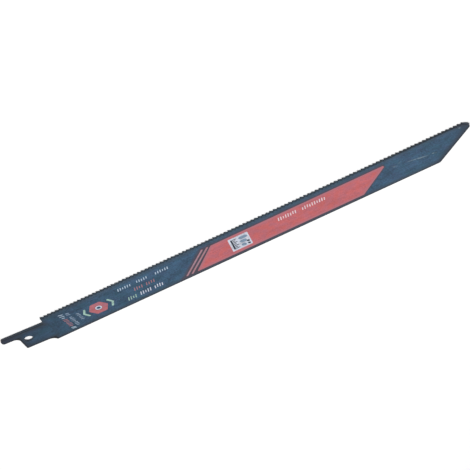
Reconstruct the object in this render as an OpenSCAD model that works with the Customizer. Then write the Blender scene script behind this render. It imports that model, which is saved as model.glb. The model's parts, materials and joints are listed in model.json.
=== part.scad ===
/* [Blade] */
// Overall length, from the end of the tang to the nose
blade_length = 225.2; // [150:0.1:300]
// Width, from the tooth tips to the back edge
blade_width = 19; // [17.5:0.1:25]
// Thickness of the strip
blade_thickness = 0.9; // [0.7:0.05:1.6]
// Angle between the sloping front edge and the back edge
front_angle = 35.5; // [25:0.5:60]
// Slope of the nose, down from the last tooth tip
nose_slope = 38; // [10:1:45]
// Radius of the nose, where it turns into the front edge
nose_radius = 1.8; // [1:0.1:2.5]
// Least length of the nose, past the last tooth tip
nose_length = 2.2; // [2:0.1:4]
// Radius of the heel, between the front edge and the back edge
heel_radius = 0.6; // [0.2:0.1:2]

/* [Shank] */
// Width of the shank
shank_width = 12.7; // [11:0.1:13.5]
// Angle by which the shank is canted, so that the far end of the blade leads towards the teeth
shank_cant = 3.5; // [0:0.1:6]
// Diameter of the pin hole
hole_d = 4; // [3.2:0.1:5]
// Distance from the pin hole's centre back to the shoulder
hole_to_shoulder = 3.5; // [3:0.1:6]
// Distance from the pin hole's centre to the line of the tooth tips
hole_to_tooth_line = 9.8; // [8.8:0.1:11]
// Distance from the pin hole's centre forward to the first tooth
hole_to_teeth = 10.7; // [9:0.1:20]
// Length along the shank of the slope that rises to the first tooth
tooth_side_slope = 0.3; // [0:0.1:3]
// Radius at the foot of that slope
slope_foot_radius = 0.4; // [0.1:0.1:1]
// Distance from the first tooth back to the corner where the back edge starts
back_corner_offset = 1.3; // [0:0.1:3]
// Radius of the hollow between the shank and the back edge
back_hollow_radius = 3.5; // [3:0.1:5]
// Radius of the shoulder's outer corner
shoulder_radius = 0.5; // [0.2:0.1:2]

/* [Tang] */
// Length of the tang, from the shoulder to its end
tang_length = 7.3; // [5:0.1:9]
// Width of the tang
tang_width = 3.3; // [2.7:0.1:5]
// Radius of the corners at the tang's end
tang_end_radius = 1.2; // [0.4:0.05:1.3]
// Radius of the hollow between the tang and the shoulder
tang_hollow_radius = 2.6; // [1:0.1:3.5]

/* [Teeth] */
// Teeth in each inch of the toothed edge
teeth_per_inch = 14; // [10:0.5:18]
// Radius at the bottom of each gullet
gullet_radius = 0.44; // [0.25:0.01:0.44]
// Lean of a tooth's cutting face towards the shank
rake_angle = 4; // [0:0.5:8]
// Slope of a tooth's back, down towards the nose
clearance_angle = 34; // [30:0.5:38]
// Sideways set of a bent tooth's tip
tooth_set = 0.2; // [0.05:0.01:0.35]

/* [Hidden] */
paint_blue = [0.23, 0.30, 0.37];

// The set repeats every four teeth: bent to -Z, upright, bent to +Z, upright. The first tooth stays upright.
set_cycle = 4;
first_bent_back = 2;
first_bent_front = 4;
// Straight steps in a half turn of an edge's round stretches, and in the two sides of a gullet
half_turn_steps = 24;
gullet_face_steps = 3;
gullet_back_steps = 2;
// How far a bent tooth's root reaches down into the strip
root_overlap = 0.3;

// The origin is the pin hole's centre in the strip's middle plane. X runs along the blade to the nose, and Y
// across it to the teeth. The shank's own frame has the same origin and is turned by shank_cant.
shank_top = shank_width / 2;
shank_bottom = -shank_width / 2;
tip_y = hole_to_tooth_line;
back_y = tip_y - blade_width;
shoulder_x = -hole_to_shoulder;
tang_end_x = shoulder_x - tang_length;
tang_bottom = shank_top - tang_width;

// The canted tang reaches farthest back at its lower corner, so the blade's length is measured from there.
tang_corner = [tang_end_x + tang_end_radius, tang_bottom + tang_end_radius];
nose_end_x = turned(tang_corner, -shank_cant).x - tang_end_radius + blade_length;

// A tooth's cutting face and the back of the tooth behind it would meet in a sharp valley, below the tooth tips
// by sharp_depth and ahead of a tip by valley_x. The gullet is the arc that touches both of the valley's sides.
inch = 25.4;
tooth_pitch = inch / teeth_per_inch;
valley_angle = 90 - rake_angle - clearance_angle;
sharp_depth = tooth_pitch / (1 / tan(clearance_angle) - tan(rake_angle));
valley_x = sharp_depth / tan(clearance_angle);
gullet_reach = gullet_radius / sin(valley_angle / 2);
gullet_bearing = 90 + rake_angle + valley_angle / 2;
gullet_x = valley_x + gullet_reach * cos(gullet_bearing);
gullet_y = tip_y - sharp_depth + gullet_reach * sin(gullet_bearing);
root_y = gullet_y - gullet_radius;
tooth_depth = tip_y - root_y;

// The nose slopes down from the last tooth tip, and its arc ends on the sloping front edge.
tooth_count = floor((nose_end_x - nose_length - hole_to_teeth) / tooth_pitch);
last_tip = [tooth_x(tooth_count), tip_y];
nose_center_x = nose_end_x - nose_radius;
nose_fall = (nose_radius + (nose_center_x - last_tip.x) * sin(nose_slope)) / cos(nose_slope);
nose_center = [nose_center_x, tip_y - nose_fall];
front_start = nose_center + nose_radius * [sin(front_angle), -cos(front_angle)];
heel = [front_start.x - (front_start.y - back_y) / tan(front_angle), back_y];

// In the shank's frame, the hollow leaves the lower edge smoothly and ends in a corner on the back edge.
shank_first_tip = turned([hole_to_teeth, tip_y], shank_cant);
back_corner = [hole_to_teeth - back_corner_offset, back_y];
shank_back_corner = turned(back_corner, shank_cant);
back_step = shank_bottom - shank_back_corner.y;
hollow_turn = back_step < back_hollow_radius ? acos(1 - back_step / back_hollow_radius) : 90;
hollow_center = [
    shank_back_corner.x - back_hollow_radius * sin(hollow_turn),
    shank_bottom - back_hollow_radius
];

// A point turned about the pin hole's centre
function turned(p, angle) = [
    p.x * cos(angle) - p.y * sin(angle),
    p.x * sin(angle) + p.y * cos(angle)
];

// Points along an arc, from one angle to another
function arc(center, radius, from, to, steps) = [
    for (i = [0 : steps])
        let (a = from + (to - from) * i / steps)
            center + radius * [cos(a), sin(a)]
];

// The arc of radius r that rounds the corner b between the edges a-b and b-c, whichever way it turns
function rounded(a, b, c, r) =
    let (
        into = (b - a) / norm(b - a),
        out = (c - b) / norm(c - b),
        side = sign(cross(into, out)),
        turn = acos(max(-1, min(1, into * out))),
        start = b - into * r * tan(turn / 2),
        center = start + side * r * [-into.y, into.x],
        from = atan2(start.y - center.y, start.x - center.x)
    )
    arc(center, r, from, from + side * turn, max(2, ceil(half_turn_steps * turn / 180)));

function tooth_x(i) = hole_to_teeth + i * tooth_pitch;

// From the bottom of the gullet behind tooth i up to its cutting face
function gullet_face(i) =
    arc([tooth_x(i - 1) + gullet_x, gullet_y], gullet_radius, -90, rake_angle, gullet_face_steps);

// From the back of tooth i down to the bottom of the gullet ahead of it
function gullet_back(i) =
    arc([tooth_x(i) + gullet_x, gullet_y], gullet_radius, -90 - clearance_angle, -90, gullet_back_steps);

// Tooth i, from gullet bottom to gullet bottom. The first tooth's cutting face is the slope up from the shank.
function tooth(i) = concat(i > 0 ? gullet_face(i) : [], [[tooth_x(i), tip_y]], gullet_back(i));

function reversed(points) = [for (i = [len(points) - 1 : -1 : 0]) points[i]];

// The edge with every upright tooth, and straight along the gullet bottoms where a bent tooth stands
upright_edge = concat(
    [for (i = [0 : tooth_count - 1]) if (i == 0 || i % 2 == 1) each tooth(i)],
    gullet_face(tooth_count),
    [last_tip]
);

// The shank's outline in its own frame, from the slope's foot round the tang to the corner on the back edge
shank_outline =
    let (
        tang_end_top = [tang_end_x, shank_top],
        tang_end_bottom = [tang_end_x, tang_bottom],
        tang_root = [shoulder_x, tang_bottom],
        shoulder = [shoulder_x, shank_bottom],
        hollow_start = [hollow_center.x, shank_bottom],
        slope_foot = [shank_first_tip.x - tooth_side_slope, shank_top]
    )
    concat(
        rounded(shank_first_tip, slope_foot, tang_end_top, slope_foot_radius),
        rounded(slope_foot, tang_end_top, tang_end_bottom, tang_end_radius),
        rounded(tang_end_top, tang_end_bottom, tang_root, tang_end_radius),
        rounded(tang_end_bottom, tang_root, shoulder, tang_hollow_radius),
        rounded(tang_root, shoulder, hollow_start, shoulder_radius),
        arc(hollow_center, back_hollow_radius, 90, 90 - hollow_turn, half_turn_steps / 2),
        back_step > back_hollow_radius ? [shank_back_corner] : []
    );

module strip() {
    linear_extrude(height = blade_thickness, center = true)
        difference() {
            polygon(concat(
                [for (p = shank_outline) turned(p, -shank_cant)],
                rounded(back_corner, heel, front_start, heel_radius),
                arc(nose_center, nose_radius, front_angle - 90, 90 - nose_slope, half_turn_steps),
                reversed(upright_edge)
            ));
            circle(d = hole_d, $fn = 96);
        }
}

// Every fourth tooth from number first on, bent at the gullet bottoms to the side of +Z (1) or -Z (-1).
// The teeth's outline crosses a bar along the edge, whose section is upright at the root and leans above it.
module bent_teeth(first, side) {
    half = blade_thickness / 2;
    root_end = root_y - root_overlap;
    bar_top = tip_y + tooth_depth;
    lean = side * tooth_set * (bar_top - root_y) / tooth_depth;
    intersection() {
        linear_extrude(height = 2 * blade_thickness, center = true)
            for (i = [first : set_cycle : tooth_count - 1])
                polygon(concat(
                    tooth(i),
                    [[tooth_x(i) + gullet_x, root_end], [tooth_x(i - 1) + gullet_x, root_end]]
                ));
        rotate([90, 0, 90])
            linear_extrude(height = nose_end_x)
                polygon([
                    [root_end, -half],
                    [root_y, -half],
                    [bar_top, lean - half],
                    [bar_top, lean + half],
                    [root_y, half],
                    [root_end, half]
                ]);
    }
}

module blade() {
    color(paint_blue)
        union() {
            strip();
            bent_teeth(first_bent_back, -1);
            bent_teeth(first_bent_front, 1);
        }
}

blade();
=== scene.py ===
"""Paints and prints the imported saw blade, and sets it on its studio floor.

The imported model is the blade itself, and keeps its shape. The print is thin closed films of ink on the
blade's upper face. Settings are in metres. Outlines of the print are worked out in millimetres in the blade's
own frame: X runs from the pin hole to the nose, Y to the teeth, Z out of the printed face.
"""
import json

import bpy
import numpy as np
from mathutils import Matrix, Vector


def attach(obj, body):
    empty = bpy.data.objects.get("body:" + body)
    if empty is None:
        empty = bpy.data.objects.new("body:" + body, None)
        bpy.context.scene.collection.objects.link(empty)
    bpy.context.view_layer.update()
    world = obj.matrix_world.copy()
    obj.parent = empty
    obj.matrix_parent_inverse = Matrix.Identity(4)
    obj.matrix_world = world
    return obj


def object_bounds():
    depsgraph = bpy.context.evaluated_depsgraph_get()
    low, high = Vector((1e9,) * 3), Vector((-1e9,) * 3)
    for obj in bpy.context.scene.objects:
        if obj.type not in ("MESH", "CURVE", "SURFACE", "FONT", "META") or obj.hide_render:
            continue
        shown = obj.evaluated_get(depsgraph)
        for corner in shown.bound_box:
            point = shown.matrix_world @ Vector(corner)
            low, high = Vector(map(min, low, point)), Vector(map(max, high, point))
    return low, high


bl_info = {
    "name": "Saw Blade Finish",
    "version": (1, 0, 0),
    "blender": (4, 5, 0),
    "location": "View3D > Sidebar > Saw Blade",
    "description": "Paints and prints a reciprocating saw blade and builds its studio stage",
    "category": "Object",
}

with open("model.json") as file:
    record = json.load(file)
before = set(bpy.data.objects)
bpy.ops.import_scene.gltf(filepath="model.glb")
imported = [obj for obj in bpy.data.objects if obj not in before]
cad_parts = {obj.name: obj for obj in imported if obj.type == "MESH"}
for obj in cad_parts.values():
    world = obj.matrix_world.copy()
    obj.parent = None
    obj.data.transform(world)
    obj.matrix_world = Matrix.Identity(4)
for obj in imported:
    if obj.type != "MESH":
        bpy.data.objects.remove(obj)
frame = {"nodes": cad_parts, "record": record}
CAD_BOX = [list(corner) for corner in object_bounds()]
MOUNTS = {mount["name"]: mount for mount in frame["record"]["mounts"]}

MM = 0.001
BLADE = "blade"
BODY = "root"

# The photo's frame: its side in pixels, and the sensor width that the lens is worked out for
PHOTO_SIDE = 470
SENSOR_WIDTH = 36.0

# The blade's outline as in the part's source, in millimetres and degrees
FACE_Z = MOUNTS["shank_front"]["pos_m"][2] / MM
BACK_Y = -9.2
TIP_Y = 9.8
ROOT_Y = 8.94
FIRST_TOOTH_X = 10.7
BACK_CORNER_X = 9.4
FRONT_ANGLE = 35.5
HEEL_X = 193.41
NOSE_SLOPE = 38.0
LAST_TOOTH_X = 212.09
SHANK_CANT = 3.5
SHANK_HALF = 6.35
SHANK_REACH = 14.0
SHOULDER_X = -3.5
TANG_END_X = -10.8
TANG_BOTTOM_Y = 3.05

# Distance along the blade from the band to the stripe beside it
STRIPE_GAP = 1.35

# How much faster the haze of ink fades past the band's right end, and the depths in the band between which its
# ink turns from thin to full
HAZE_FADE = 2.2
RED_EDGE_DEPTH = (0.3, 1.8)

# Indices of the Mix node's colour sockets and of the Texture Coordinate node's Object output
MIX_A, MIX_B, MIX_RESULT = 6, 7, 2
OBJECT_OUTPUT = 3

# Contrast between the fine and coarse layers of every noise
NOISE_ROUGHNESS = 0.55


def setting(kind, name, description, default, **options):
    """A property of that kind with its name, description and default."""
    return kind(name=name, description=description, default=default, **options)


def length(name, description, millimetres):
    """A length setting, whose default is given in millimetres."""
    return setting(
        bpy.props.FloatProperty, name, description, millimetres * MM, unit="LENGTH", precision=5
    )


def place(name, description, x, y):
    """A place on the blade's face, whose default is given in millimetres."""
    default = (x * MM, y * MM)
    return setting(
        bpy.props.FloatVectorProperty, name, description, default, size=2, unit="LENGTH", precision=5
    )


def colour(name, description, red, green, blue):
    """A colour setting, in linear light."""
    default = (red, green, blue)
    return setting(
        bpy.props.FloatVectorProperty, name, description, default, size=3, subtype="COLOR", min=0, max=1
    )


def share(name, description, default):
    """A setting from 0 to 1."""
    return setting(bpy.props.FloatProperty, name, description, default, min=0, max=1, subtype="FACTOR")


def slope(name, description, default):
    """A plain ratio."""
    return setting(bpy.props.FloatProperty, name, description, default, min=-3, max=3)


def turn(name, description, degrees):
    """An angle setting, whose default is given in degrees."""
    return setting(bpy.props.FloatProperty, name, description, np.radians(degrees), unit="ROTATION")


def amount(name, description, default, **options):
    """A number from 0 up."""
    return setting(bpy.props.FloatProperty, name, description, default, min=0, **options)


def in_mm(settings, *names):
    """Those length settings, in millimetres."""
    return [getattr(settings, name) / MM for name in names]


class SawBladePaint(bpy.types.PropertyGroup):
    """The painted steel."""

    paint: colour("Paint", "Colour of the paint", 0.030, 0.074, 0.131)
    edge: colour("Edge", "Colour of the duller paint along the outline", 0.032, 0.047, 0.066)
    rim: colour("Rim", "Colour of the thin dark line at the outline", 0.003, 0.005, 0.008)
    teeth: colour("Teeth", "Colour of the toothed edge", 0.037, 0.074, 0.112)
    ends: colour("Ends", "Colour of the paint at the tang, the nose and the front edge", 0.019, 0.026, 0.046)
    haze: colour("Haze", "Colour of the paint under the thin haze of ink round the band", 0.066, 0.045, 0.060)
    haze_width: length("Haze width", "How far the haze of ink reaches", 2.1)
    # The scuff colour also serves the painted highlight, a glint by the nose
    scuff_and_glint: colour("Scuff", "Colour of rubbed marks", 0.20, 0.27, 0.31)
    edge_width: length("Edge width", "Width of the duller paint along the outline", 3.3)
    rim_width: length("Rim width", "Width of the dark line at the outline", 0.85)
    # Painted shade: the strip's narrow sides are coloured darker, standing in for the shade they lie in
    side_shade_tone: share("Side tone", "Brightness of the paint on the strip's narrow sides, as a share", 0.66)
    # Painted shade: the paint is darker at the shank than by the nose, standing in for a reflection of the
    # light that fades along the blade
    painted_shank_shade: share("Shank tone", "Brightness of the paint at the shank, against that by the nose", 0.64)
    roughness: share("Roughness", "Roughness of the paint", 0.42)
    mottle: share("Mottle", "How much the paint's colour varies", 1.0)


class SawBladeInk(bpy.types.PropertyGroup):
    """The inks of the print."""

    red: colour("Red", "Colour of the red ink", 0.449, 0.112, 0.126)
    pale: colour("Pale", "Colour of the pale ink", 0.52, 0.55, 0.635)
    faint: colour("Faint", "Colour of the thinner pale ink", 0.38, 0.47, 0.57)
    hazy: colour("Hazy", "Colour of the faintest pale ink", 0.25, 0.32, 0.42)
    steel: colour("Steel", "Colour of the shaded parts of the label", 0.17, 0.24, 0.33)
    rose: colour("Rose", "Colour of the stripes beside the band", 0.328, 0.178, 0.213)
    blush: colour("Blush", "Colour of the pale marks on the band", 0.70, 0.555, 0.585)
    brick: colour("Brick", "Colour of the nut", 0.385, 0.122, 0.145)
    red_edge: colour("Red edge", "Colour of the thinner red ink along the band's outline", 0.39, 0.136, 0.165)
    faded_red: colour("Faded red", "Colour of the faint red marks", 0.32, 0.15, 0.18)
    green: colour("Green", "Colour of the green ink", 0.30, 0.46, 0.39)
    dark: colour("Dark", "Colour of the dark marks on the label", 0.020, 0.030, 0.045)
    film: length("Film", "Thickness of one film of ink", 0.014)
    roughness: share("Roughness", "Roughness of the ink", 0.48)
    mottle: share("Mottle", "How much an ink's tone varies", 0.38)
    drift: share("Drift", "How far an ink's hue drifts, to warmer and cooler", 0.6)


class SawBladeBand(bpy.types.PropertyGroup):
    """The red band and the stripes beside it."""

    top: length("Top", "Height of the band's upper edge", 6.25)
    bottom: length("Bottom", "Height of the band's lower edge", -7.2)
    left: length("Left", "Where the band's left edge crosses the pin hole's axis", 85.2)
    left_lean: slope("Left lean", "How far the left edge runs on, for each unit up", 0.98)
    right: length("Right", "Where the band's blunt point ends", 173.6)
    right_foot: length("Right foot", "Where the band's right edge meets its lower edge", 158.1)
    blunt: length("Blunt", "Height of the blunt end of the point", 1.1)
    stripe: length("Stripe", "Width of a stripe, along the blade", 1.15)
    stripe_lean: slope("Stripe lean", "How far a stripe runs on, for each unit up", 1.05)
    stripe_pitch: length("Stripe pitch", "Distance between the stripes, along the blade", 2.55)


class SawBladeLabel(bpy.types.PropertyGroup):
    """The pale panel with a scale, bars and dots."""

    corner: place("Corner", "Lower left corner of the panel", 96.6, -5.15)
    size: place("Size", "Width and height of the panel", 9.4, 9.6)
    lean: length("Lean", "How far the panel's top is shifted along the blade", 1.9)


class SawBladeEmblem(bpy.types.PropertyGroup):
    """The nut between two chevrons."""

    centre: place("Centre", "Centre of the nut", 33.6, -0.75)
    radius: length("Radius", "Radius of the nut, to its corners", 4.6)
    bore: share("Bore", "Radius of the nut's hole, as a share of its own", 0.34)
    ring: length("Ring", "Width of the pale ring inside the hole", 0.55)


class SawBladeStage(bpy.types.PropertyGroup):
    """The floor, the lights and the camera."""

    azimuth: turn("Azimuth", "Bearing of the camera from the blade, from +X towards +Y", 71.0206)
    elevation: turn("Elevation", "Height of the camera above the floor", 32.8115)
    roll: turn("Roll", "Roll of the camera", 165.7403)
    distance: length("Distance", "Distance from the camera to its target", 3115.94)
    target: place("Target", "Where on the blade the camera looks", 102.613, 5.108)
    focal_pixels: amount("Focal length", "Focal length in the photo's pixels", 7438.3)
    floor: colour("Floor", "Colour of the floor", 0.93, 0.93, 0.93)
    world: amount("World", "Strength of the light from all around", 0.27)
    softbox_power: amount("Softbox", "Power of the overhead light", 28.0, unit="POWER")
    tip_power: amount("Tip light", "Power of the light by the nose", 0.05, unit="POWER")


class Wire:
    """One output of a node. An expression on wires and numbers adds its Math nodes."""

    def __init__(self, finish, socket):
        self.finish = finish
        self.socket = socket

    def math(self, operation, *values):
        """A Math node of that operation on the values, in their order."""
        return self.finish.node("ShaderNodeMath", {"operation": operation}, dict(enumerate(values)))

    def __add__(self, other):
        return self.math("ADD", self, other)

    def __sub__(self, other):
        return self.math("SUBTRACT", self, other)

    def __mul__(self, other):
        return self.math("MULTIPLY", self, other)

    def __radd__(self, other):
        return self.math("ADD", other, self)

    def __rsub__(self, other):
        return self.math("SUBTRACT", other, self)

    def __rmul__(self, other):
        return self.math("MULTIPLY", other, self)

    def __abs__(self):
        return self.math("ABSOLUTE", self)

    def at_least(self, other):
        """The larger of the two."""
        return self.math("MAXIMUM", self, other)

    def at_most(self, other):
        """The smaller of the two."""
        return self.math("MINIMUM", self, other)

    def rise(self, start, end):
        """A smooth step from 0 at start to 1 at end."""
        settings = {"interpolation_type": "SMOOTHSTEP", "clamp": True}
        inputs = {0: self, 1: start, 2: end, 3: 0.0, 4: 1.0}
        return self.finish.node("ShaderNodeMapRange", settings, inputs)


class Finish:
    """A material's node tree. node() adds every node, and a Wire's expressions add Math nodes through it."""

    def __init__(self, name):
        self.material = bpy.data.materials.new(name)
        self.material.use_nodes = True
        self.tree = self.material.node_tree
        self.tree.nodes.clear()
        coordinates = self.node("ShaderNodeTexCoord", output=OBJECT_OUTPUT)
        self.spot = self.vector("SCALE", coordinates, {3: 1 / MM})
        self.x, self.y, self.z = self.split(self.spot)

    def node(self, kind, settings=None, inputs=None, output=0):
        """Adds a node of that type: its settings, then its sockets' values or links. Returns one output."""
        made = self.tree.nodes.new(kind)
        for name, value in (settings or {}).items():
            setattr(made, name, value)
        for name, value in (inputs or {}).items():
            if isinstance(value, Wire):
                self.tree.links.new(value.socket, made.inputs[name])
            else:
                made.inputs[name].default_value = value
        self.last = made
        return Wire(self, made.outputs[output]) if len(made.outputs) else None

    def vector(self, operation, first, others):
        """A Vector Math node."""
        return self.node("ShaderNodeVectorMath", {"operation": operation}, {0: first, **others})

    def split(self, vector):
        """The three parts of a vector."""
        self.node("ShaderNodeSeparateXYZ", inputs={0: vector})
        return [Wire(self, socket) for socket in self.last.outputs]

    def noise(self, scale, stretch=(1, 1, 1), shift=0.0, detail=3.0):
        """Noise from 0 to 1 in millimetres, stretched along each axis and shifted to another sample."""
        inputs = {0: self.spot, 1: (shift, shift, shift), 3: stretch}
        where = self.node("ShaderNodeMapping", {"vector_type": "POINT"}, inputs)
        inputs = {"Vector": where, "Scale": scale, "Detail": detail, "Roughness": NOISE_ROUGHNESS}
        return self.node("ShaderNodeTexNoise", None, inputs)

    def mix(self, factor, first, second, blend="MIX"):
        """A colour between the first, at factor 0, and the second, at 1."""
        first, second = (value if isinstance(value, Wire) else (*value, 1.0) for value in (first, second))
        settings = {"data_type": "RGBA", "blend_type": blend}
        return self.node("ShaderNodeMix", settings, {0: factor, MIX_A: first, MIX_B: second}, MIX_RESULT)

    def drifted(self, base, tint, noise, strength, high, low):
        """A base whose hue drifts one way where the noise is high, and another way where it is low.

        high and low each hold where the noise starts and ends the drift, and the factors on the tint's parts.
        """
        base = self.mix(noise.rise(*high[0]) * strength, base, tinted(tint, high[1]))
        return self.mix((1 - noise.rise(*low[0])) * strength, base, tinted(tint, low[1]))

    def surface(self, base, roughness, height, bump, specular):
        """Ends the tree in a Principled BSDF, with a bump of that depth in millimetres."""
        normal = self.node("ShaderNodeBump", None, {"Height": height, "Distance": bump * MM, "Strength": 1.0})
        inputs = {"Base Color": base, "Roughness": roughness, "Normal": normal}
        inputs.update({"Specular IOR Level": specular, "Metallic": 0.0})
        shader = self.node("ShaderNodeBsdfPrincipled", None, inputs)
        self.node("ShaderNodeOutputMaterial", None, {"Surface": shader})
        return self.material


def shade(tint, factor):
    """A colour made lighter or darker by a factor."""
    return tuple(min(1.0, part * factor) for part in tint)


def tinted(tint, factors):
    """A colour with its red, green and blue each multiplied by a factor of its own."""
    return tuple(part * factor for part, factor in zip(tint, factors))


def past_line(x, y, point, degrees):
    """How far a spot lies past the line through the point, in the direction of that bearing."""
    angle = np.radians(degrees)
    return x * np.cos(angle) + y * np.sin(angle) - (point[0] * np.cos(angle) + point[1] * np.sin(angle))


def outline_depth(finish):
    """How deep a spot lies inside the blade's outline, in millimetres.

    Inside a convex shape it is the least distance to its sides, and in a union of shapes the greatest of
    theirs. The shank and tang are taken in their own frame, turned by the cant about the pin hole.
    """
    x, y = finish.x, finish.y
    cant = np.radians(SHANK_CANT)
    shank_x = x * np.cos(cant) - y * np.sin(cant)
    shank_y = x * np.sin(cant) + y * np.cos(cant)
    strip = (y - BACK_Y).at_most(past_line(x, y, (HEEL_X, BACK_Y), 90 + FRONT_ANGLE))
    strip = strip.at_most(past_line(x, y, (LAST_TOOTH_X, TIP_Y), -90 - NOSE_SLOPE))
    strip = strip.at_most(x - BACK_CORNER_X)
    shank = (SHANK_HALF - abs(shank_y)).at_most(shank_x - SHOULDER_X).at_most(SHANK_REACH - shank_x)
    tang = (SHANK_HALF - shank_y).at_most(shank_y - TANG_BOTTOM_Y).at_most(shank_x - TANG_END_X)
    tang = tang.at_most(-SHOULDER_X - shank_x)
    return strip.at_least(shank).at_least(tang)


def past_right_edge(finish, band, side):
    """How far a spot lies past the band's slanting right edge: outwards with side -1, inwards with side 1."""
    top, bottom, right, foot, blunt = in_mm(band, "top", "bottom", "right", "right_foot", "blunt")
    bearing = np.degrees(np.arctan2(top - blunt - bottom, right - foot))
    return past_line(finish.x, finish.y, (foot, bottom), bearing + side * 90)


def past_band(finish, band):
    """How far a spot lies outside the band and its stripes, in millimetres, with the stripes' gaps inside."""
    x, y = finish.x, finish.y
    top, bottom, left, right, stripe, pitch = in_mm(
        band, "top", "bottom", "left", "right", "stripe", "stripe_pitch"
    )
    first = left - STRIPE_GAP - pitch - stripe
    bearing = np.degrees(np.arctan2(1, band.stripe_lean))
    outside = (y - top).at_least(bottom - y).at_least((x - right) * HAZE_FADE)
    outside = outside.at_least(past_line(x, y, (first, 0), bearing + 90))
    return outside.at_least(past_right_edge(finish, band, -1) * HAZE_FADE)


def inside_band(finish, band):
    """How deep a spot lies inside the red band's own outline, in millimetres."""
    x, y = finish.x, finish.y
    top, bottom, left, right = in_mm(band, "top", "bottom", "left", "right")
    bearing = np.degrees(np.arctan2(1, band.left_lean))
    inside = (top - y).at_most(y - bottom).at_most(right - x)
    inside = inside.at_most(past_line(x, y, (left, 0), bearing - 90))
    return inside.at_most(past_right_edge(finish, band, 1))


def rubbed(finish, centre, bearing, half_length, half_width, strength):
    """A rubbed mark, which fades along an ellipse about its centre. The painted glint by the nose is made the
    same way.
    """
    angle = np.radians(bearing)
    along = (finish.x - centre[0]) * np.cos(angle) + (finish.y - centre[1]) * np.sin(angle)
    across = (finish.y - centre[1]) * np.cos(angle) - (finish.x - centre[0]) * np.sin(angle)
    along = along * (1 / half_length)
    across = across * (1 / half_width)
    return (1 - (along * along + across * across)).rise(0.0, 1.0) * strength


# Where along the blade the paint turns darker: towards the shank in painted shade, towards the tang and the
# nose, and on the teeth
SHANK_SHADE = (-4.0, 50.0)
TANG_SHADE = (-7.0, 1.0)
NOSE_SHADE = (204.0, 212.0)
TOOTH_SHADE = (150.0, 195.0)

# How far in from the front edge the paint is darker, and how deep the duller paint reaches under the teeth
FRONT_SHADE = (0.3, 3.4)
ROOT_SHADE = 2.4

# Where these start and are full: the painted shade on the strip's narrow sides from the middle of its
# thickness, the toothed edge across the blade and along it, and the deeper painted shade by the teeth's ends
# across it
SIDE_SHADE_RISE = (FACE_Z - 0.06, FACE_Z - 0.02)
TOOTHED_ACROSS = (ROOT_Y - 0.05, ROOT_Y + 0.45)
TOOTHED_ALONG = (BACK_CORNER_X + 0.4, FIRST_TOOTH_X)
TIP_SHADE_ACROSS = (TIP_Y - 0.7, TIP_Y - 0.2)

# How ragged the duller paint, the toothed edge and the dark rim are, in millimetres
EDGE_RAGGED, TOOTHED_RAGGED, RIM_RAGGED = 0.6, 0.5, 0.15

# How much of the paint below it each layer hides
EDGE_COVER, ROOT_COVER, TOOTH_COVER, TIP_SHADE_COVER, HAZE_COVER = 0.9, 0.5, 0.75, 0.8, 0.85
TANG_COVER, NOSE_COVER, FRONT_COVER, RIM_COVER, RUBBED_AND_GLINT_COVER = 0.85, 0.6, 0.55, 0.9, 0.8

# Brightness of the duller paint under the teeth, and of the painted shade on the sides by the teeth's ends, as
# shares
ROOT_TONE, TIP_SHADE_TONE = 1.35, 0.2

# The paint's tone: how far it swings, and the shares of clouds, grain and rolling lines in that
PAINT_SWING = 0.5
PAINT_CLOUDS, PAINT_GRAIN, PAINT_ROLLING = 0.8, 1.1, 0.35

# The paint's drift in hue, to greener and to redder, and its strength
GREENER = ((0.48, 0.70), (0.75, 1.15, 0.97))
REDDER = ((0.30, 0.50), (1.4, 0.88, 1.03))
PAINT_DRIFT = 0.42

# Where the noise breaks up the rubbed marks and the painted glint
RUBBED_AND_GLINT_BREAKS = (0.32, 0.62)

# How much each layer adds to the paint's roughness and height
ROUGH_GRAIN, ROUGH_CLOUDS, ROUGH_RUBBED_AND_GLINT, ROUGH_TOOTHED = 0.16, 0.10, 0.12, 0.1
HEIGHT_PEEL, HEIGHT_ROLLING, HEIGHT_GRAIN = 0.6, 0.3, 0.2

# Depth of the paint's bumps in millimetres, and how strongly it reflects
PAINT_BUMP, PAINT_SPECULAR = 0.012, 0.42

# Rubbed marks as the photo shows them, the last a painted glint: centre, bearing, half length, half width,
# strength
RUBBED_MARKS_AND_GLINT = (
    ((187.2, 0.3), -13.0, 5.6, 0.68, 0.9),
    ((189.2, -0.4), -9.0, 2.2, 0.42, 0.5),
    ((194.4, -1.0), -20.0, 1.4, 0.55, 1.0),
    ((177.3, 2.0), -35.0, 1.6, 0.8, 0.48),
    ((179.9, 3.3), 20.0, 1.3, 0.45, 0.36),
    # Painted highlight: a glint by the nose, drawn as a pale spot
    ((210.5, 7.9), 10.0, 0.65, 0.42, 1.0),
)


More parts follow.
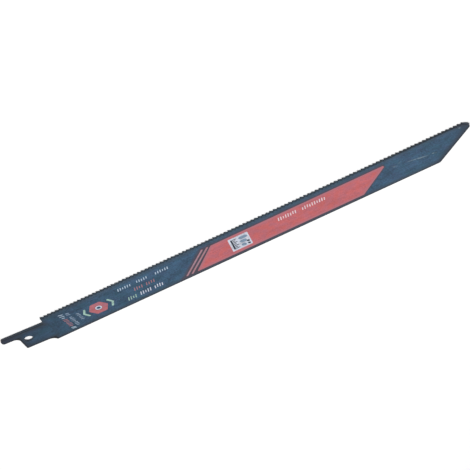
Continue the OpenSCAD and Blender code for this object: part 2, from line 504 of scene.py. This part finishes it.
def painted_steel(paint, band):
    """Satin paint on steel: cloudy colour, faint rolling lines and orange peel, darker at the outline."""
    finish = Finish("Painted_Steel")
    x, y, z = finish.x, finish.y, finish.z
    clouds = finish.noise(0.17, stretch=(1, 1.5, 1), detail=4.0)
    grain = finish.noise(1.3, shift=7.3, detail=4.0)
    rolling = finish.noise(0.8, stretch=(0.05, 1.6, 1), shift=3.1)
    peel = finish.noise(1.5, shift=11.9, detail=2.0)
    ragged = finish.noise(0.9, shift=5.7) - 0.5
    drift = finish.noise(0.2, shift=23.0)

    swing = 2 * paint.mottle
    tone = (clouds - 0.5) * (PAINT_CLOUDS * swing) + (grain - 0.5) * (PAINT_GRAIN * swing)
    tone = tone + (rolling - 0.5) * (PAINT_ROLLING * swing) + 0.5
    base = finish.mix(tone, shade(paint.paint, 1 - PAINT_SWING), shade(paint.paint, 1 + PAINT_SWING))
    base = finish.drifted(base, paint.paint, drift, PAINT_DRIFT, GREENER, REDDER)

    depth = outline_depth(finish)
    margin = 1 - (depth + ragged * EDGE_RAGGED).rise(0.0, paint.edge_width / MM)
    base = finish.mix(margin * EDGE_COVER, base, paint.edge)
    below_teeth = y.rise(ROOT_Y - ROOT_SHADE, ROOT_Y)
    base = finish.mix(below_teeth * ROOT_COVER, base, shade(paint.edge, ROOT_TONE))
    # Painted shade: the narrow sides take a darker copy of the paint, for the shade they lie in
    side = 1 - abs(z).rise(*SIDE_SHADE_RISE)
    base = finish.mix(side, base, shade(paint.paint, paint.side_shade_tone))
    toothed = (y + ragged * TOOTHED_RAGGED).rise(*TOOTHED_ACROSS) * x.rise(*TOOTHED_ALONG)
    base = finish.mix(toothed, base, paint.teeth)
    base = finish.mix(toothed * x.rise(*TOOTH_SHADE) * TOOTH_COVER, base, paint.rim)
    # Painted shade: still darker on the narrow sides near the teeth's ends
    tip_shade = side * y.rise(*TIP_SHADE_ACROSS)
    base = finish.mix(tip_shade * TIP_SHADE_COVER, base, shade(paint.teeth, TIP_SHADE_TONE))

    printed_side = z.rise(0.0, 0.5 * FACE_Z)
    haze = (1 - past_band(finish, band).rise(0.0, paint.haze_width / MM)) * printed_side
    base = finish.mix(haze * HAZE_COVER, base, paint.haze)

    # Painted shade: darker towards the shank, in place of a reflection that is brighter by the nose
    base = finish.mix(1 - x.rise(*SHANK_SHADE), base, (paint.painted_shank_shade,) * 3, "MULTIPLY")
    tang = (1 - x.rise(*TANG_SHADE)) * TANG_COVER
    front_depth = past_line(x, y, (HEEL_X, BACK_Y), 90 + FRONT_ANGLE)
    front = (1 - front_depth.rise(*FRONT_SHADE)) * FRONT_COVER
    ends = tang.at_least(x.rise(*NOSE_SHADE) * NOSE_COVER).at_least(front)
    base = finish.mix(ends, base, paint.ends)
    rim = 1 - (depth + ragged * RIM_RAGGED).rise(0.0, paint.rim_width / MM)
    base = finish.mix(rim * (1 - side) * (1 - toothed) * RIM_COVER, base, paint.rim)

    # Pale rubbed marks, with a painted highlight among them: the glint by the nose
    worn_and_glint = rubbed(finish, *RUBBED_MARKS_AND_GLINT[0])
    for mark in RUBBED_MARKS_AND_GLINT[1:]:
        worn_and_glint = worn_and_glint.at_least(rubbed(finish, *mark))
    breaks = finish.noise(1.3, stretch=(0.6, 1.6, 1), shift=17.0).rise(*RUBBED_AND_GLINT_BREAKS)
    worn_and_glint = worn_and_glint * breaks * printed_side
    base = finish.mix(worn_and_glint * RUBBED_AND_GLINT_COVER, base, paint.scuff_and_glint)

    roughness = paint.roughness + (grain - 0.5) * ROUGH_GRAIN + (clouds - 0.5) * ROUGH_CLOUDS
    roughness = roughness + worn_and_glint * ROUGH_RUBBED_AND_GLINT + toothed * ROUGH_TOOTHED
    height = peel * HEIGHT_PEEL + rolling * HEIGHT_ROLLING + grain * HEIGHT_GRAIN
    return finish.surface(base, roughness, height, PAINT_BUMP, PAINT_SPECULAR)


# Shifts of an ink's speckle, streaks and drift from its clouds
SPECKLE_SHIFT, STREAK_SHIFT, DRIFT_SHIFT = 4.0, 9.0, 15.0

# The ink's tone: the shares of clouds, speckle and streaks in its swing
INK_CLOUDS, INK_SPECKLE, INK_STREAKS = 0.7, 1.6, 0.9

# The ink's drift in hue, to warmer and to cooler
WARMER = ((0.44, 0.66), (1.10, 0.94, 0.80))
COOLER = ((0.34, 0.56), (0.90, 1.07, 1.20))

# Where the noise wears the ink thin, and the streaks' part in that against the speckle's
THIN_SPOTS = (0.60, 0.80)
THIN_STREAKS = 0.6

# How much speckle and clouds add to the ink's roughness, and speckle and streaks to its height
INK_ROUGH_SPECKLE, INK_ROUGH_CLOUDS = 0.2, 0.08
INK_HEIGHT_SPECKLE, INK_HEIGHT_STREAKS = 0.5, 0.3

# Depth of the ink's bumps in millimetres, and how strongly it reflects
INK_BUMP, INK_SPECULAR = 0.008, 0.4


def ink(name, tint, settings, seed, patchy, sway, band=None):
    """Screen-printed ink: cloudy and streaky colour, and fine speckle where the paint shows through.

    With a band, the ink is thinner along the inside of the band's outline.
    """
    finish = Finish(name)
    clouds = finish.noise(0.2, shift=seed, detail=4.0)
    speckle = finish.noise(1.6, shift=seed + SPECKLE_SHIFT, detail=4.0)
    streaks = finish.noise(0.9, stretch=(0.06, 1.3, 1), shift=seed + STREAK_SHIFT)
    drift = finish.noise(0.3, shift=seed + DRIFT_SHIFT, detail=2.0)
    tone = (clouds - 0.5) * INK_CLOUDS + (speckle - 0.5) * INK_SPECKLE + (streaks - 0.5) * INK_STREAKS + 0.5
    base = finish.mix(tone, shade(tint, 1 - settings.mottle), shade(tint, 1 + settings.mottle))
    base = finish.drifted(base, tint, drift, sway * settings.drift, WARMER, COOLER)
    if band:
        edge = 1 - inside_band(finish, band).rise(*RED_EDGE_DEPTH)
        base = finish.mix(edge, base, settings.red_edge)
    thin = speckle.rise(*THIN_SPOTS) * patchy + streaks.rise(*THIN_SPOTS) * (THIN_STREAKS * patchy)
    base = finish.mix(thin, base, settings.dark)
    roughness = settings.roughness + (speckle - 0.5) * INK_ROUGH_SPECKLE + (clouds - 0.5) * INK_ROUGH_CLOUDS
    height = speckle * INK_HEIGHT_SPECKLE + streaks * INK_HEIGHT_STREAKS
    return finish.surface(base, roughness, height, INK_BUMP, INK_SPECULAR)


def shell(name, rings, ends=None):
    """A closed shell through cross-section rings, all as arrays in millimetres.

    rings holds pieces x rings x points x 3, each ring counter-clockwise seen from the next one's side. With
    ends, which holds pieces x 2 x 3, the first and last ring close on a point each. Without, the last joins the
    first.
    """
    pieces, count, points = rings.shape[:3]
    vertices = rings.reshape(-1, 3)
    start = np.arange(pieces)[:, None, None] * (count * points)
    ring_count = count if ends is None else count - 1
    ring, point = np.meshgrid(np.arange(ring_count), np.arange(points), indexing="ij")
    beside = (point + 1) % points
    here, ahead = ring * points, ((ring + 1) % count) * points
    quads = np.stack([here + point, here + beside, ahead + beside, ahead + point], axis=-1)
    faces = (start[..., None] + quads[None]).reshape(-1, 4).tolist()
    if ends is not None:
        step = np.arange(points)
        first = start[:, 0] + step
        first_next = start[:, 0] + (step + 1) % points
        last, last_next = first + (count - 1) * points, first_next + (count - 1) * points
        pole = len(vertices) + 2 * np.arange(pieces)[:, None] + 0 * step
        caps = [np.stack([first_next, first, pole], axis=-1), np.stack([last, last_next, pole + 1], axis=-1)]
        faces += np.concatenate(caps).reshape(-1, 3).tolist()
        vertices = np.concatenate([vertices, ends.reshape(-1, 3)])
    mesh = bpy.data.meshes.new(name)
    mesh.from_pydata((vertices * MM).tolist(), [], faces)
    mesh.validate()
    made = bpy.data.objects.new(name, mesh)
    bpy.context.scene.collection.objects.link(made)
    return made


def lifted(plan, height):
    """Points of the plan at that height above the printed face."""
    return np.concatenate([plan, np.full(plan.shape[:-1] + (1,), FACE_Z + height)], axis=-1)


# How deep a film is sunk in what it lies on, and the widest rounding of its upper edge, in millimetres
SUNK = 0.004
EDGE_ROUND = 0.05

# Where up a film the rounding starts, and the most of a patch's reach or a stroke's half width that it takes
ROUND_START = 0.75
PATCH_ROUND, STROKE_ROUND = 0.3, 0.4

# Points on a stroke's round end to one side, on a rounded corner and on a circle, and on the nut and its hole
END_STEPS = 4
CORNER_STEPS = 6
CIRCLE_POINTS = 64
NUT_POINTS = 360

# The nut's reach to its blunt corners, as a share of that to sharp ones
NUT_CORNER = 0.975


def patches(name, outlines, floor, top):
    """Flat films. Each is its outline lifted from floor to top, drawn in a little and closed on its centre."""
    centre = outlines.mean(axis=1, keepdims=True)
    reach = np.linalg.norm(outlines - centre, axis=-1, keepdims=True)
    inner = centre + (outlines - centre) * (1 - np.minimum(EDGE_ROUND / reach, PATCH_ROUND))
    middle = floor + ROUND_START * (top - floor)
    rings = np.stack([lifted(outlines, floor), lifted(outlines, middle), lifted(inner, top)], axis=1)
    ends = np.concatenate([lifted(centre, floor), lifted(centre, top)], axis=1)
    return shell(name, rings, ends)


def section(point, normal, half, floor, top):
    """The cross-section of a stroke: flat below, upright at the sides, with a rounded upper edge."""
    inner = half - np.minimum(EDGE_ROUND, STROKE_ROUND * half)
    middle = floor + ROUND_START * (top - floor)
    steps = ((half, floor), (half, middle), (inner, top), (-inner, top), (-half, middle), (-half, floor))
    return np.stack([lifted(point + normal * offset, height) for offset, height in steps], axis=2)


def strokes(name, paths, width, floor, top):
    """Films drawn along paths, with mitred corners and round ends.

    Along the first and last half width, the half width is that of a circle: sin of the angle at 1 - cos of it.
    """
    half = width / 2
    steps = np.diff(paths, axis=1)
    way = steps / np.linalg.norm(steps, axis=-1, keepdims=True)
    left = np.stack([-way[..., 1], way[..., 0]], axis=-1)
    mitre = (left[:, :-1] + left[:, 1:]) / (1 + (left[:, :-1] * left[:, 1:]).sum(axis=-1, keepdims=True))
    angle = np.linspace(0, np.pi / 2, END_STEPS + 1)[1:]
    run = half * (1 - np.cos(angle))[None, :, None]
    first = paths[:, :1] + way[:, :1] * run
    last = (paths[:, -1:] - way[:, -1:] * run)[:, ::-1]
    point = np.concatenate([first, paths[:, 1:-1], last], axis=1)
    first_normal, last_normal = np.repeat(left[:, :1], END_STEPS, 1), np.repeat(left[:, -1:], END_STEPS, 1)
    normal = np.concatenate([first_normal, mitre, last_normal], axis=1)
    full = np.full(paths.shape[1] - 2, half)
    halves = np.concatenate([half * np.sin(angle), full, half * np.sin(angle)[::-1]])[None, :, None]
    rings = section(point, normal, halves, floor, top)
    ends = lifted(paths[:, [0, -1]], (floor + top) / 2)
    return shell(name, rings, ends)


def hollow_patch(name, outer, inner, floor, top):
    """A flat film between an outer and an inner outline, both counter-clockwise, with upright sides."""
    rings = [lifted(inner, floor), lifted(inner, top), lifted(outer, top), lifted(outer, floor)]
    return shell(name, np.stack(rings, axis=2))


def rounded_outline(corners, radius):
    """Convex outlines with rounded corners: each corner becomes the arc that touches its two sides."""
    into = corners - np.roll(corners, 1, axis=1)
    into = into / np.linalg.norm(into, axis=-1, keepdims=True)
    out = np.roll(into, -1, axis=1)
    across = into[..., 0] * out[..., 1] - into[..., 1] * out[..., 0]
    turned = np.arctan2(across, (into * out).sum(axis=-1))
    start = corners - into * (radius * np.tan(turned / 2))[..., None]
    centre = start + radius * np.stack([-into[..., 1], into[..., 0]], axis=-1)
    begin = np.arctan2(start[..., 1] - centre[..., 1], start[..., 0] - centre[..., 0])
    angle = begin[..., None] + turned[..., None] * np.linspace(0, 1, CORNER_STEPS)
    arc = centre[..., None, :] + radius * np.stack([np.cos(angle), np.sin(angle)], axis=-1)
    return arc.reshape(len(corners), -1, 2)


def circle(centre, radius, points=CIRCLE_POINTS):
    """A circle, as one counter-clockwise outline."""
    angle = np.linspace(0, 2 * np.pi, points, endpoint=False)
    return (np.array(centre) + radius * np.stack([np.cos(angle), np.sin(angle)], axis=-1))[None]


def nut(centre, radius):
    """A hexagon, as one counter-clockwise outline.

    Its reach is the half width across the flats over the cosine of the angle from the nearest flat's middle.
    It is held a little below the radius, so the corners are blunt.
    """
    angle = np.linspace(0, 2 * np.pi, NUT_POINTS, endpoint=False)
    from_flat = angle % (np.pi / 3) - np.pi / 6
    reach = np.minimum(radius * np.cos(np.pi / 6) / np.cos(from_flat), NUT_CORNER * radius)
    return (np.array(centre) + reach[:, None] * np.stack([np.cos(angle), np.sin(angle)], axis=-1))[None]


def finished(made, material):
    """Gives a piece of print its ink, and fixes it to the blade's body."""
    made.data.materials.append(material)
    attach(made, BODY)


# Each ink's name, how much of the paint shows through its thin spots, and its share of the drift in hue
INKS = (
    ("red", 0.22, 1.0),
    ("pale", 0.18, 0.25),
    ("faint", 0.35, 0.25),
    ("steel", 0.15, 0.25),
    ("rose", 0.25, 0.7),
    ("faded_red", 0.35, 0.7),
    ("hazy", 0.35, 0.25),
    ("green", 0.3, 0.25),
    ("dark", 0.0, 0.0),
    ("blush", 0.18, 0.25),
    ("brick", 0.3, 1.0),
)

# Shift of the first ink's noise, and from each ink's noise to the next ink's
FIRST_SEED = 31.0
SEED_STEP = 13.0


def inks(context):
    """The ink materials by name, each made once."""
    settings = context.scene.saw_blade_ink
    made = {}
    for index, (name, patchy, sway) in enumerate(INKS):
        title = "Ink_" + name.title()
        band = context.scene.saw_blade_band if name == "red" else None
        seed = FIRST_SEED + SEED_STEP * index
        found = bpy.data.materials.get(title)
        made[name] = found or ink(title, getattr(settings, name), settings, seed, patchy, sway, band)
    return made


def levels(context, above=0):
    """Floor and top of a film on the bare face, or above that many other films."""
    film = context.scene.saw_blade_ink.film / MM
    return above * film - SUNK, (above + 1) * film


# Radius of the band's corners, and of the stripes' and the label's
BAND_CORNER, PRINT_CORNER = 0.35, 0.3


class OBJECT_OT_saw_blade_paint(bpy.types.Operator):
    """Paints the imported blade"""

    bl_idname = "saw_blade.paint"
    bl_label = "Paint the Blade"

    def execute(self, context):
        blade = frame["nodes"][BLADE]
        material = painted_steel(context.scene.saw_blade_paint, context.scene.saw_blade_band)
        if not blade.material_slots:
            blade.data.materials.append(material)
        for slot in blade.material_slots:
            slot.link = "OBJECT"
            slot.material = material
        return {"FINISHED"}


class OBJECT_OT_saw_blade_band(bpy.types.Operator):
    """Prints the red band and the two stripes beside it"""

    bl_idname = "saw_blade.band"
    bl_label = "Print the Band"

    def execute(self, context):
        band = context.scene.saw_blade_band
        top, bottom, left, right, foot, blunt, stripe, pitch = in_mm(
            band, "top", "bottom", "left", "right", "right_foot", "blunt", "stripe", "stripe_pitch"
        )
        colours = inks(context)
        corners = np.array(
            [
                [left + bottom * band.left_lean, bottom],
                [foot, bottom],
                [right, top - blunt],
                [right, top],
                [left + top * band.left_lean, top],
            ]
        )
        made = patches("Red_Band", rounded_outline(corners[None], BAND_CORNER), *levels(context))
        finished(made, colours["red"])

        half = stripe / 2
        middles = left - half - STRIPE_GAP - pitch * np.arange(2)
        sides = np.array([[-half, bottom], [half, bottom], [half, top], [-half, top]])
        sides[:, 0] += band.stripe_lean * sides[:, 1]
        stripes = sides[None] + np.stack([middles, 0 * middles], axis=-1)[:, None]
        made = patches("Band_Stripes", rounded_outline(stripes, PRINT_CORNER), *levels(context))
        finished(made, colours["rose"])
        return {"FINISHED"}


# The label's marks, in the panel's own millimetres: the scale's line and ticks, the bars and the dots
SCALE_LINE, SCALE_WIDTH = ((1.25, 1.0), (1.25, 8.6)), 0.75
FIRST_TICK, TICK_PITCH, TICK_WIDTH = (1.7, 1.5), 1.1, 0.5
TICK_LENGTHS = (2.1, 1.3, 2.1, 1.3, 2.1, 1.3, 2.1)
FIRST_BAR, BAR_PITCH, BAR_WIDTH = (4.6, 1.9), 2.7, 2.1
BAR_LENGTHS = (2.3, 3.2, 4.1)
DOTS, DOT_RADIUS = ((8.15, 1.45), (8.15, 3.25)), 0.65


def stacked(first, pitch, lengths):
    """Level lines as paths, the first from that place and each other a pitch above the last."""
    foot = np.array(first) + np.arange(len(lengths))[:, None] * np.array([0.0, pitch])
    head = foot + np.array(lengths)[:, None] * np.array([1.0, 0.0])
    return np.stack([foot, head], axis=1)


class OBJECT_OT_saw_blade_label(bpy.types.Operator):
    """Prints the pale panel, with a scale, bars and dots on it"""

    bl_idname = "saw_blade.label"
    bl_label = "Print the Label"

    def execute(self, context):
        label = context.scene.saw_blade_label
        colours = inks(context)
        origin = np.array(label.corner) / MM
        width, height = np.array(label.size) / MM
        lean = label.lean / MM / height

        def on_panel(plan):
            """Places on the panel: its own width and height, leaning with it."""
            plan = np.asarray(plan, dtype=float)
            return origin + np.stack([plan[..., 0] + lean * plan[..., 1], plan[..., 1]], axis=-1)

        def dark_mark(made):
            """Gives a mark on the panel the dark ink."""
            finished(made, colours["dark"])

        corners = on_panel([[[0, 0], [width, 0], [width, height], [0, height]]])
        panel = patches("Label_Panel", rounded_outline(corners, PRINT_CORNER), *levels(context, 1))
        finished(panel, colours["pale"])

        floor, top = levels(context, 2)
        dark_mark(strokes("Label_Scale", on_panel([SCALE_LINE]), SCALE_WIDTH, floor, top))
        ticks = on_panel(stacked(FIRST_TICK, TICK_PITCH, TICK_LENGTHS))
        dark_mark(strokes("Label_Ticks", ticks, TICK_WIDTH, floor, top))
        bars = on_panel(stacked(FIRST_BAR, BAR_PITCH, BAR_LENGTHS))
        finished(strokes("Label_Bars", bars, BAR_WIDTH, floor, top), colours["steel"])
        dots = np.concatenate([circle(on_panel(spot), DOT_RADIUS) for spot in DOTS])
        dark_mark(patches("Label_Dots", dots, floor, top))
        return {"FINISHED"}


# The emblem: the gap between the nut's hole and the ring, a chevron's width, and one chevron as shares of the
# nut's radius
RING_GAP = 0.1
CHEVRON_WIDTH = 0.95
CHEVRON = ((1.18, -0.66), (1.5, 0.0), (1.18, 0.66))


class OBJECT_OT_saw_blade_emblem(bpy.types.Operator):
    """Prints a red nut with a pale ring, between two green chevrons"""

    bl_idname = "saw_blade.emblem"
    bl_label = "Print the Emblem"

    def execute(self, context):
        emblem = context.scene.saw_blade_emblem
        colours = inks(context)
        centre = np.array(emblem.centre) / MM
        radius, ring = in_mm(emblem, "radius", "ring")
        bore = emblem.bore * radius
        floor, top = levels(context)
        hole = circle(centre, bore, NUT_POINTS)
        made = hollow_patch("Emblem_Nut", nut(centre, radius), hole, floor, top)
        finished(made, colours["brick"])
        outside = circle(centre, bore - RING_GAP, NUT_POINTS)
        inside = circle(centre, bore - RING_GAP - ring, NUT_POINTS)
        made = hollow_patch("Emblem_Ring", outside, inside, floor, top)
        finished(made, colours["pale"])
        both_sides = np.array([[[-1.0, 1.0]], [[1.0, 1.0]]])
        arms = both_sides * (np.array(CHEVRON) * radius) + centre
        made = strokes("Emblem_Chevrons", arms, CHEVRON_WIDTH, floor, top)
        finished(made, colours["green"])
        return {"FINISHED"}


# Rows of marks: name, ink, slot, films below, start, bearing, length, height, gaps as shares of the length
MARK_ROWS = (
    ("Row_Upper", "faint", "white_print", 0, (45.4, 4.85), 0.0, 24.9, 1.9, ((0.27, 0.38), (0.60, 0.71))),
    ("Row_Middle", "faded_red", "red_print", 0, (51.2, 0.45), 0.0, 10.4, 2.4, ((0.5, 0.53),)),
    ("Row_Lower_Green", "green", "green_print", 0, (45.9, -4.35), 0.0, 4.6, 2.5, ()),
    ("Row_Lower_Pale", "pale", "white_print", 0, (51.9, -4.25), 0.0, 11.4, 2.5, ((0.52, 0.60),)),
    ("Band_Row", "blush", "white_print", 1, (121.6, 2.75), 0.0, 23.0, 2.4, ((0.42, 0.48),)),
    ("Turned_First_Pale", "faint", "white_print", 0, (18.5, 6.75), -90.0, 4.4, 2.1, ()),
    ("Turned_First_Red", "faded_red", "red_print", 0, (18.6, 2.05), -90.0, 7.0, 2.1, ()),
    ("Turned_First_End", "faint", "white_print", 0, (18.7, -5.55), -90.0, 1.7, 1.9, ()),
    ("Turned_Second", "hazy", "white_print", 0, (21.3, 5.75), -90.0, 12.0, 1.7, ((0.18, 0.30),)),
    ("Turned_Third", "hazy", "white_print", 0, (24.7, 2.45), -90.0, 6.2, 1.5, ()),
)

# The marks' pitch and width in millimetres, and how far a mark runs on for each unit up
MARK_PITCH = 1.12
MARK_WIDTH = 0.44
MARK_SLANT = 0.34

# How far some marks stop short of the row's top and bottom, as shares of its height
SHORT_TOP, SHORT_BOTTOM = 0.16, 0.14


def mark_row(start, direction, run, tall, gaps):
    """Slanted marks in a row, as paths. Every third stops short at its top, and every fourth at its foot."""
    count = max(2, int(run / MARK_PITCH))
    along = (np.arange(count) + 0.5) / count
    keep = np.ones(count, dtype=bool)
    for first, last in gaps:
        keep &= (along < first) | (along > last)
    along = along[keep] * run
    number = np.arange(len(along))
    upper = tall * (0.5 - SHORT_TOP * (number % 3 == 2))
    lower = -tall * (0.5 - SHORT_BOTTOM * (number % 4 == 2))
    plan = np.array([[along + MARK_SLANT * end, end] for end in (lower, upper)]).transpose(2, 0, 1)
    angle = np.radians(direction)
    ahead, aside = np.array([np.cos(angle), np.sin(angle)]), np.array([-np.sin(angle), np.cos(angle)])
    return np.array(start) + plan[..., :1] * ahead + plan[..., 1:] * aside


class OBJECT_OT_saw_blade_rows(bpy.types.Operator):
    """Prints rows of plain slanted marks"""

    bl_idname = "saw_blade.rows"
    bl_label = "Print the Rows"

    def execute(self, context):
        colours = inks(context)
        for name, tint, slot, above, start, direction, run, tall, gaps in MARK_ROWS:
            paths = mark_row(start, direction, run, tall, gaps)
            made = strokes(name, paths, MARK_WIDTH, *levels(context, above))
            finished(made, colours[tint])
        return {"FINISHED"}


# The stage, in metres: the floor's half width, the softbox above the target, and the light beside the nose
FLOOR_HALF = 4.0
SOFTBOX_OFFSET, SOFTBOX_SIZE = (0.0, 0.25, 1.5), (1.8, 1.4)
TIP_LIGHT_PLACE, TIP_LIGHT_TARGET, TIP_LIGHT_SIZE = (0.10, -0.48, 0.33), (0.20, 0.0, 0.0), (0.25, 0.2)
CLIP_RANGE = (0.1, 20.0)

# Colours of the softbox and the light beside the nose
WHITE = (1.0, 1.0, 1.0)
COOL_WHITE = (0.75, 0.88, 1.0)

# The floor's paper: its darker tone as a share, its roughness and how much that varies, the depth of its bumps
# in millimetres, and how strongly it reflects
PAPER_TONE = 0.985
PAPER_ROUGHNESS, PAPER_SWING = 0.9, 0.05
PAPER_BUMP, PAPER_SPECULAR = 0.001, 0.1


def area_light(name, location, target, size, power, tint):
    """A rectangular area light that faces its target, with places in metres."""
    light = bpy.data.lights.new(name, "AREA")
    light.shape = "RECTANGLE"
    light.size, light.size_y = size
    light.energy = power
    light.color = tint
    made = bpy.data.objects.new(name, light)
    bpy.context.scene.collection.objects.link(made)
    made.location = location
    made.rotation_euler = (Vector(target) - Vector(location)).to_track_quat("-Z", "Y").to_euler()


class SCENE_OT_saw_blade_stage(bpy.types.Operator):
    """Builds the floor, the lights, the world and the camera"""

    bl_idname = "saw_blade.stage"
    bl_label = "Build the Stage"

    def execute(self, context):
        stage = context.scene.saw_blade_stage
        corners = FLOOR_HALF * np.array([[-1, -1], [1, -1], [1, 1], [-1, 1]])
        ground = np.full((4, 1), CAD_BOX[0][2])
        mesh = bpy.data.meshes.new("Floor")
        mesh.from_pydata(np.concatenate([corners, ground], axis=1).tolist(), [], [[0, 1, 2, 3]])
        floor = bpy.data.objects.new("Floor", mesh)
        context.scene.collection.objects.link(floor)
        paper = Finish("Floor_Paper")
        cloud = paper.noise(0.02, detail=2.0)
        base = paper.mix(cloud, shade(stage.floor, PAPER_TONE), stage.floor)
        roughness = PAPER_ROUGHNESS + (cloud - 0.5) * PAPER_SWING
        material = paper.surface(base, roughness, cloud, PAPER_BUMP, PAPER_SPECULAR)
        floor.data.materials.append(material)

        world = bpy.data.worlds.new("Studio")
        context.scene.world = world
        world.use_nodes = True
        background = world.node_tree.nodes["Background"]
        background.inputs["Color"].default_value = (*WHITE, 1.0)
        background.inputs["Strength"].default_value = stage.world

        middle = Vector((*stage.target, 0.0))
        above = middle + Vector(SOFTBOX_OFFSET)
        area_light("Overhead_Softbox", above, middle, SOFTBOX_SIZE, stage.softbox_power, WHITE)
        area_light(
            "Tip_Light", TIP_LIGHT_PLACE, TIP_LIGHT_TARGET, TIP_LIGHT_SIZE, stage.tip_power, COOL_WHITE
        )

        azimuth, elevation, roll = stage.azimuth, stage.elevation, stage.roll
        outward = np.cos(elevation)
        back = Vector((outward * np.cos(azimuth), outward * np.sin(azimuth), np.sin(elevation)))
        level = (-back).cross(Vector((0, 0, 1))).normalized()
        upright = level.cross(-back)
        right = level * np.cos(roll) + upright * np.sin(roll)
        up = upright * np.cos(roll) - level * np.sin(roll)
        camera = bpy.data.cameras.new("Studio_Camera")
        camera.sensor_width = SENSOR_WIDTH
        camera.lens = stage.focal_pixels * SENSOR_WIDTH / PHOTO_SIDE
        camera.clip_start, camera.clip_end = CLIP_RANGE
        holder = bpy.data.objects.new("Studio_Camera", camera)
        context.scene.collection.objects.link(holder)
        where = Matrix.Translation(middle + back * stage.distance)
        holder.matrix_world = where @ Matrix((right, up, back)).transposed().to_4x4()
        context.scene.camera = holder
        context.scene.view_settings.view_transform = "Standard"
        return {"FINISHED"}


class VIEW3D_PT_saw_blade(bpy.types.Panel):
    """The blade's settings in the sidebar"""

    bl_label = "Saw Blade"
    bl_idname = "VIEW3D_PT_saw_blade"
    bl_space_type = "VIEW_3D"
    bl_region_type = "UI"
    bl_category = "Saw Blade"

    def draw(self, context):
        for operator, group in STEPS:
            box = self.layout.box()
            box.operator(operator.bl_idname)
            settings = getattr(context.scene, GROUPS[group])
            for name in group.__annotations__:
                box.prop(settings, name)


GROUPS = {
    SawBladePaint: "saw_blade_paint",
    SawBladeInk: "saw_blade_ink",
    SawBladeBand: "saw_blade_band",
    SawBladeLabel: "saw_blade_label",
    SawBladeEmblem: "saw_blade_emblem",
    SawBladeStage: "saw_blade_stage",
}
STEPS = (
    (OBJECT_OT_saw_blade_paint, SawBladePaint),
    (OBJECT_OT_saw_blade_band, SawBladeBand),
    (OBJECT_OT_saw_blade_label, SawBladeLabel),
    (OBJECT_OT_saw_blade_emblem, SawBladeEmblem),
    (OBJECT_OT_saw_blade_rows, SawBladeInk),
    (SCENE_OT_saw_blade_stage, SawBladeStage),
)


def register():
    """Registers the settings, operators and panel."""
    for group, name in GROUPS.items():
        bpy.utils.register_class(group)
        setattr(bpy.types.Scene, name, bpy.props.PointerProperty(type=group))
    for operator, _ in STEPS:
        bpy.utils.register_class(operator)
    bpy.utils.register_class(VIEW3D_PT_saw_blade)


def unregister():
    """Takes them away again."""
    bpy.utils.unregister_class(VIEW3D_PT_saw_blade)
    for operator, _ in reversed(STEPS):
        bpy.utils.unregister_class(operator)
    for group, name in GROUPS.items():
        delattr(bpy.types.Scene, name)
        bpy.utils.unregister_class(group)


def main():
    register()
    bpy.ops.saw_blade.paint()
    bpy.ops.saw_blade.band()
    bpy.ops.saw_blade.label()
    bpy.ops.saw_blade.emblem()
    bpy.ops.saw_blade.rows()
    bpy.ops.saw_blade.stage()


if __name__ == "__main__":
    main()
